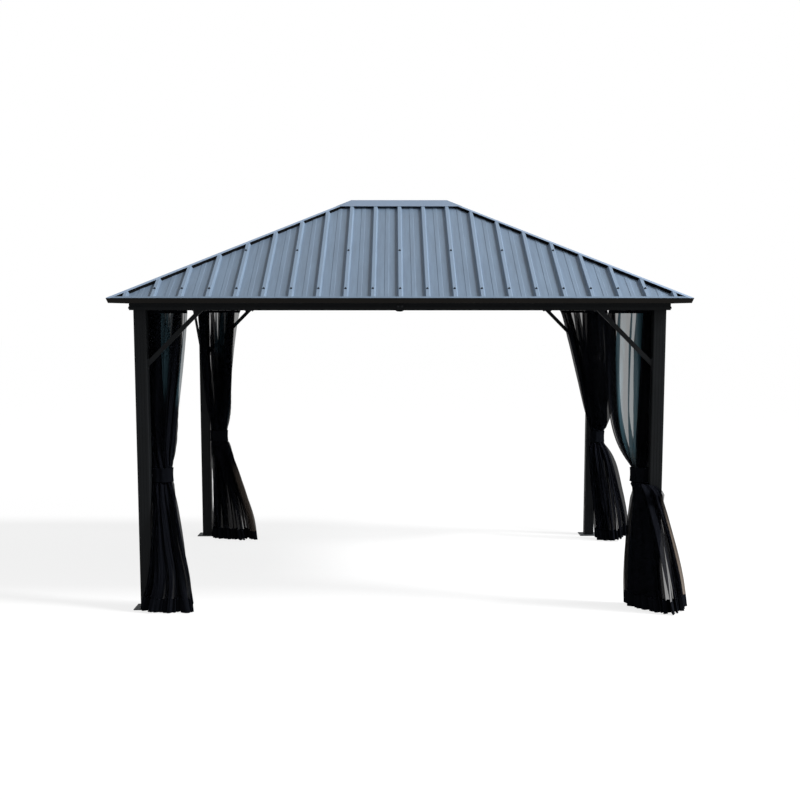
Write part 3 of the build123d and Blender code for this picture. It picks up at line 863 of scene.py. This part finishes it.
def through(knots, values, at):
    """Smooth curve through values at rising knots (cubic, with slopes kept between its neighbours)."""
    knots, values, at = np.asarray(knots, float), np.asarray(values, float), np.asarray(at, float)
    step = np.diff(knots)
    shape = (-1,) + (1,) * (values.ndim - 1)
    rise = np.diff(values, axis=0) / step.reshape(shape)
    slopes = np.empty_like(values)
    slopes[0], slopes[-1] = rise[0], rise[-1]
    before, after = step[:-1].reshape(shape), step[1:].reshape(shape)
    slopes[1:-1] = (rise[:-1] * after + rise[1:] * before) / (before + after)
    place = np.clip(np.searchsorted(knots, at, side="right") - 1, 0, len(knots) - 2)
    width = step[place].reshape(shape)
    t = ((at - knots[place]) / step[place]).reshape(shape)
    square, cube = t**2, t**3
    return (
        (2 * cube - 3 * square + 1) * values[place]
        + (cube - 2 * square + t) * slopes[place] * width
        + (-2 * cube + 3 * square) * values[place + 1]
        + (cube - square) * slopes[place + 1] * width
    )


def ripples(random, across, along, u, z):
    """Smooth random field over the cloth, about -1 to 1: seven waves of up to `across` by `along`."""
    waves = 7
    field = np.zeros((len(z), len(u)))
    for _ in range(waves):
        wave_u, wave_z = random.uniform(0.3, 1.0) * across, random.uniform(-1.0, 1.0) * along
        phase = random.uniform(0, 2 * pi)
        field += np.sin(2 * pi * (wave_u * u[None, :] + wave_z * z[:, None]) + phase)
    return field / np.sqrt(waves)


def row_heights(rows):
    """Even shares of the way down, and the rows' heights, which lie closer together at the tie."""
    even = np.linspace(0, 1, rows)
    crowd = 0.035 * np.sin(4 * pi * even) * np.exp(-((even - 0.55) / 0.3) ** 2)
    z = TOP - (TOP - HEM_FOOT) * (even + crowd)
    z[0], z[-1] = TOP, HEM_FOOT
    return even, z


def plan_lines(net, look, u, z):
    """Plan of the cloth's middle surface, a point for every row and column."""
    tie_top, tie_foot = WAIST + look.strap / 2, WAIST - look.strap / 2
    lines = {height: np.array(line, float) / 1000 for height, line in net["lines"].items()}
    below = sorted(height for height in lines if height <= TIE)
    knots = [height / 1000 for height in below[:-1]] + [tie_foot]
    spread = through(knots, [lines[height] for height in below], np.clip(z, knots[0], knots[-1]))
    fall = np.clip((TOP - z) / (TOP - tie_top), 0, 1)
    pull = fall[:, None, None] ** np.array(net["gather"]).T[None]
    hung = lines[TRACK_FOOT] + (lines[TIE] - lines[TRACK_FOOT]) * pull
    controls = np.where((z > tie_top)[:, None, None], hung, spread)
    tied = (z <= tie_top) & (z >= tie_foot)
    controls = np.where(tied[:, None, None], lines[TIE], controls)
    return through(net["shares"], controls.transpose(1, 0, 2), u).transpose(1, 0, 2)


def directions(base, u):
    """How fast the plan lines run, and their smoothed tangents and normals."""
    tangent = np.gradient(base, u, axis=1)
    pace = np.linalg.norm(tangent, axis=2)
    window = len(u) // 14 | 1
    kernel = np.hanning(window + 2)[1:-1]
    kernel /= kernel.sum()
    padded = np.pad(tangent, ((0, 0), (window // 2, window // 2), (0, 0)), mode="edge")
    smooth = np.stack(
        [[np.convolve(row[:, k], kernel, "valid") for row in padded] for k in (0, 1)], axis=2
    )
    smooth /= np.linalg.norm(smooth, axis=2, keepdims=True) + 1e-9
    return pace, smooth, np.stack([-smooth[:, :, 1], smooth[:, :, 0]], axis=2)


def pleat_folds(net, look, random, u, z, pace):
    """How far the folds stand out of the middle surface, and how far they lean along it."""
    # Each pleat carries what its share of the plan line doesn't take up
    count = look.pleats
    depth = np.sqrt(np.clip(look.cut_width**2 - pace**2, 0, None)) / (4 * count)
    at_tie = np.exp(-(((z - WAIST) / TIE_REACH) ** 2))[:, None]
    low = np.clip((WAIST - z) / WAIST, 0, 1)[:, None]
    high = np.clip((z - WAIST) / UPPER_FALL, 0, 1)[:, None]

    # In the tie, the pleats fill an oval
    along = np.clip((u - 0.02) / 0.96, 0, 1)
    oval = np.sqrt(np.clip(1 - (2 * along - 1) ** 2, 0.04, 1))[None, :] * 1.22
    depth = depth * (1 + at_tie * (oval - 1))
    drift = ripples(random, 7.0, 0.5, u, z)
    uneven = ripples(random, 16.0, 0.45, u, z)
    phase = 2 * pi * (count * u[None, :] + 0.3 * drift)
    calm = 1 - 0.75 * at_tie
    ends = np.clip(np.minimum(u, 1 - u) / FLAT_ENDS, 0, 1)[None, :]
    folds = depth * ends * (1 + 0.4 * uneven * calm)
    crinkle = ripples(random, 3.0, 0.6, u, z)
    fine = folds * (np.sin(phase) + 0.2 * np.sin(2.9 * phase + 2.2 * crinkle))
    broad = ripples(random, 4.5, 0.3, u, z) * (UPPER_SWAY * high**0.7 + LOWER_SWAY * low**0.6)
    broad = broad * ends * (depth * 4 * count / look.cut_width) * calm

    # The pleats hang almost square to the header and lie over one another further down
    settle = np.clip((TOP - z) / SETTLED, 0, 1)[:, None]
    lay = through(net["shares"], net["lay"], u)[None, :] * (0.55 + 0.45 * settle)
    lay = np.radians(np.clip(lay * (1 + 0.28 * ripples(random, 9.0, 0.8, u, z) * calm), *LAY_RANGE))
    lay = lay * (1 - 0.6 * at_tie) * (1 - net["loose"] * low)
    out = fine * np.cos(lay) + broad
    lean = fine * np.sin(lay) - 0.2 * folds * np.sin(2 * phase + 0.6 * drift)
    return out, lean


def fitted(base, tangent, normal, out, lean, width, even):
    """Plan of the folded cloth, with the folds scaled so that every row is as long as the cloth."""

    def placed(scale):
        return base + normal * (out * scale)[:, :, None] + tangent * (lean * scale)[:, :, None]

    least, most = np.full(len(even), 0.6), np.full(len(even), 1.25)
    for _ in range(18):
        scale = (least + most) / 2
        lengths = np.linalg.norm(np.diff(placed(scale[:, None]), axis=1), axis=2).sum(axis=1)
        long = lengths > width
        most[long], least[~long] = scale[long], scale[~long]
    knots = np.linspace(0, 1, 12)
    return placed(through(knots, np.interp(knots, even, scale), even)[:, None])


def sheer_painted_light_parts(net, u, z):
    """How much painted sky and ground light each point takes where the cloth hangs in one or two layers,
    with soft edges.
    """
    sheer_painted_light = np.zeros((len(z), len(u)))
    for start, end, low, high, share in net["sheer_painted_light"]:
        across = np.clip(np.minimum(u - start, end - u) / 0.012 + 0.5, 0, 1)
        down = np.clip(np.minimum(z - low, high - z) / 0.12 + 0.5, 0, 1)
        sheer_painted_light = np.maximum(sheer_painted_light, share * down[:, None] * across[None, :])
    return sheer_painted_light


def kept_clear(x, y, z, post):
    """Points of a net moved clear of the braces, the post, its plate and the floor."""
    above = z > BRACE_FOOT
    x = np.where(above & (abs(y) > 0.85), np.clip(x, -BRACE_FACE[0], BRACE_FACE[0]), x)
    y = np.where(above & (abs(x) > 1.2), np.clip(y, -BRACE_FACE[1], BRACE_FACE[1]), y)
    offset_x, offset_y = x - post[0], y - post[1]
    inside = (abs(offset_x) < POST_CLEAR) & (abs(offset_y) < POST_CLEAR)
    sideways = abs(offset_x) > abs(offset_y)
    x = np.where(inside & sideways, post[0] + np.sign(offset_x) * POST_CLEAR, x)
    y = np.where(inside & ~sideways, post[1] + np.sign(offset_y) * POST_CLEAR, y)
    x = np.clip(x, -HALF_LENGTH - NET_REACH, HALF_LENGTH + NET_REACH)
    over_plate = (abs(offset_x) < PLATE_CLEAR) & (abs(offset_y) < PLATE_CLEAR)
    return x, y, np.maximum(z, np.where(over_plate, PLATE_TOP, FLOOR_GAP))


def net_points(net, corner, look, columns, rows):
    """Grid of points of one hung net, rows from the header down, with shares, heights and the share of
    painted light on single layers.
    """
    random = np.random.default_rng(net["seed"])
    even, z = row_heights(rows)
    u = np.linspace(0, 1, columns)
    base = plan_lines(net, look, u, z)
    pace, tangent, normal = directions(base, u)
    out, lean = pleat_folds(net, look, random, u, z, pace)
    grid = fitted(base, tangent, normal, out, lean, look.cut_width, even)

    # The hem lifts where the cloth is pulled aside
    lift = through(net["shares"], np.array(net["lift"]) / 1000, u)
    share = np.clip((WAIST - z) / (WAIST - HEM_FOOT), 0, 1)[:, None] ** 2
    heights = z[:, None] + (lift[None, :] - HEM_FOOT) * share
    heights += 0.002 * ripples(random, 9.0, 0.0, u, z) * share
    post = post_centre(corner)
    placed = kept_clear(grid[:, :, 0] + post[0], grid[:, :, 1] + post[1], heights, post)
    return u, z, np.stack(placed, axis=2), sheer_painted_light_parts(net, u, z)


def net_mesh(name, net, corner, look):
    """Mesh of one hung net, with its flat shape as UV map in metres."""
    columns, rows = ((481, 101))
    u, z, points, sheer_painted_light = net_points(net, corner, look, columns, rows)
    index = np.arange(rows * columns).reshape(rows, columns)
    corners = [index[:-1, :-1], index[1:, :-1], index[1:, 1:], index[:-1, 1:]]
    mesh = bpy.data.meshes.new(name)
    quads = np.stack(corners, axis=2).reshape(-1, 4)
    mesh.from_pydata(points.reshape(-1, 3).tolist(), [], quads.tolist())
    drop = (z[0] - z) / (z[0] - z[-1]) * look.cut_height
    flat = np.stack(np.broadcast_arrays(u[None, :] * look.cut_width, drop[:, None]), axis=2)
    loops = np.empty(len(mesh.loops), int)
    mesh.loops.foreach_get("vertex_index", loops)
    layer = mesh.uv_layers.new(name="cloth")
    layer.data.foreach_set("uv", flat.reshape(-1, 2)[loops].ravel())
    bands = np.zeros((rows - 1, columns - 1), int)
    middle = (drop[:-1] + drop[1:]) / 2
    bands[(middle < look.tape) | (middle > look.cut_height - look.hem)] = 1
    mesh.polygons.foreach_set("material_index", bands.ravel())
    mesh.polygons.foreach_set("use_smooth", np.ones(len(mesh.polygons), bool))
    # Share of the painted sky and ground light at each point
    mesh.attributes.new("sheer_painted_light", "FLOAT", "POINT").data.foreach_set("value", sheer_painted_light.ravel())
    mesh.update()
    return mesh, points


def tie_strap(corner, net, points, look, fabric):
    """Woven strap round a net's waist."""
    waist = [row for row in points if abs(row[:, 2].mean() - WAIST) < look.strap / 2]
    low, high = np.concatenate(waist).min(axis=0), np.concatenate(waist).max(axis=0)
    middle = (low + high) / 2
    post = post_centre(corner)
    bpy.ops.object.select_all(action="DESELECT")
    place = (middle[0], middle[1], WAIST)
    bpy.ops.mesh.primitive_cylinder_add(
        vertices=40, radius=1.0, depth=look.strap, end_fill_type="NOTHING", location=place
    )
    strap = bpy.context.object
    strap.scale = ((high[0] - low[0]) / 2 + STRAP_GAP, (high[1] - low[1]) / 2 + STRAP_GAP, 1.0)
    bpy.ops.object.transform_apply(location=True, rotation=True, scale=True)
    bpy.ops.object.mode_set(mode="EDIT")
    bpy.ops.mesh.select_all(action="SELECT")
    bpy.ops.mesh.subdivide(number_cuts=3)
    bpy.ops.uv.cube_project(cube_size=1.0)
    bpy.ops.object.mode_set(mode="OBJECT")

    # Uneven round the folds, rolled out at the edges, and flat where it lies on the post
    first, second = np.random.default_rng(net["seed"] + 100).uniform(0, 2 * pi, 2)
    for vertex in strap.data.vertices:
        point = vertex.co
        angle = np.arctan2(point.y - middle[1], point.x - middle[0])
        edge = abs(point.z - WAIST) / (look.strap / 2)
        swell = 0.0015 * sin(5 * angle + first) + 0.001 * sin(9 * angle + second) + 0.003 * edge**2
        point.x += cos(angle) * swell
        point.y += sin(angle) * swell
        if abs(point.x - post[0]) < STRAP_CLEAR and abs(point.y - post[1]) < STRAP_CLEAR:
            side = 0 if abs(point.x - post[0]) > abs(point.y - post[1]) else 1
            point[side] = post[side] + (1 if point[side] > post[side] else -1) * STRAP_CLEAR
    strap.data.materials.append(fabric)
    wall = strap.modifiers.new("webbing", "SOLIDIFY")
    wall.thickness = 0.0018
    wall.offset = 1.0
    pick(strap)
    bpy.ops.object.modifier_apply(modifier=wall.name)
    bpy.ops.object.shade_smooth_by_angle(angle=radians(50))
    strap.name = f"tie_strap_{corner}"
    return on_frame(strap)


def tie_ring(corner, net, metal):
    """Wire ring and eye that hold a strap to the post."""
    start, end = (Vector(point) for point in net["hook"])
    out = (end - start).normalized()
    radius = 0.011
    bpy.ops.object.select_all(action="DESELECT")
    bpy.ops.mesh.primitive_torus_add(
        major_radius=radius,
        minor_radius=0.0022,
        major_segments=24,
        minor_segments=10,
        location=start + out * radius,
        rotation=(pi / 2, 0, 0),
    )
    ring = bpy.context.object
    bpy.ops.object.transform_apply(location=True, rotation=True, scale=True)
    ring.data.materials.append(metal)
    eye = stud(12, 0.008, 0.003, 0.0, metal, bevel=CHAMFER)
    eye.data.transform(standing(start, out))
    return on_frame(join(f"tie_ring_{corner}", [ring, eye]))


class GAZEBO_OT_hang_nets(bpy.types.Operator):
    """Hang the four mosquito nets from the tracks and tie them back to the posts"""

    bl_idname = "gazebo.hang_nets"
    bl_label = "Hang Nets"

    # Thread spacing as drawn
    net_thread, tape_thread = 0.004, 0.002
    # Drop of the gliders' feet under the tracks
    glider_drop = 0.003

    def execute(self, context):
        look = context.scene.gazebo_nets
        # The sky's and the ground's colours, painted on single layers as painted light
        painted_light = tuple(look.painted_sky_light), tuple(look.painted_ground_light)
        cloth = woven_polyester(
            "polyester_mosquito_net", look.cloth, self.net_thread, look.cover, painted_light
        )
        tape = woven_polyester("woven_polyester_tape", look.tape_colour, self.tape_thread, 1.0)
        metal = plated_steel("black_zinc_plated_wire", linear("#1C1E21"), 0.4)
        nylon = moulded_plastic("moulded_black_nylon", linear("#141416"), 0.5)
        carrier = stud(8, 0.0032, 0.014, 0.0, nylon, bevel=CHAMFER)
        wheel = stud(12, 0.0055, 0.0045, 0.006, nylon, bevel=CHAMFER)
        glider = join("curtain_glider", [carrier, wheel])
        for corner, net in NETS.items():
            name = f"mosquito_net_{corner}"
            mesh, points = net_mesh(name, net, corner, look)
            piece = bpy.data.objects.new(name, mesh)
            context.scene.collection.objects.link(piece)
            mesh.materials.append(cloth)
            mesh.materials.append(tape)
            holders = [tie_strap(corner, net, points, look, tape), tie_ring(corner, net, metal)]
            on_frame(piece)
            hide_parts(f"net_{corner}")
            post = post_centre(corner)
            header = np.array(net["lines"][TRACK_FOOT], float) / 1000
            shares = (np.arange(look.pleats) + 0.5) / look.pleats
            places = [
                Matrix.Translation((post[0] + x, post[1] + y, TOP - self.glider_drop))
                for x, y in through(net["shares"], header, shares)
            ]
            copies(glider, places, f"gliders_{corner}")
        discard(glider)
        return {"FINISHED"}


class GAZEBO_PT_panel(bpy.types.Panel):
    """Steps that dress the gazebo, in order"""

    bl_idname = "GAZEBO_PT_panel"
    bl_label = "Hardtop Gazebo"
    bl_space_type = "VIEW_3D"
    bl_region_type = "UI"
    bl_category = "Gazebo"

    def draw(self, context):
        for step in STEPS:
            self.layout.operator(step.bl_idname)
        for name in SETTINGS:
            settings = getattr(context.scene, name)
            box = self.layout.box()
            for field in settings.__annotations__:
                box.prop(settings, field)


STEPS = (
    GAZEBO_OT_build_stage,
    GAZEBO_OT_coat_frame,
    GAZEBO_OT_coat_roof,
    GAZEBO_OT_add_roof_screws,
    GAZEBO_OT_close_hips,
    GAZEBO_OT_add_bolts,
    GAZEBO_OT_hang_nets,
)
SETTINGS = {
    "gazebo_metal": GazeboMetalSettings,
    "gazebo_fasteners": GazeboFastenerSettings,
    "gazebo_nets": GazeboNetSettings,
    "gazebo_stage": GazeboStageSettings,
}


def register():
    for group in SETTINGS.values():
        bpy.utils.register_class(group)
    for step in STEPS:
        bpy.utils.register_class(step)
    bpy.utils.register_class(GAZEBO_PT_panel)
    for name, group in SETTINGS.items():
        setattr(bpy.types.Scene, name, PointerProperty(type=group))


def unregister():
    for name in SETTINGS:
        delattr(bpy.types.Scene, name)
    bpy.utils.unregister_class(GAZEBO_PT_panel)
    for step in reversed(STEPS):
        bpy.utils.unregister_class(step)
    for group in reversed(SETTINGS.values()):
        bpy.utils.unregister_class(group)


def main():
    register()
    bpy.ops.gazebo.build_stage()
    bpy.ops.gazebo.coat_frame()
    bpy.ops.gazebo.coat_roof()
    bpy.ops.gazebo.add_roof_screws()
    bpy.ops.gazebo.close_hips()
    bpy.ops.gazebo.add_bolts()
    bpy.ops.gazebo.hang_nets()


if __name__ == "__main__":
    main()
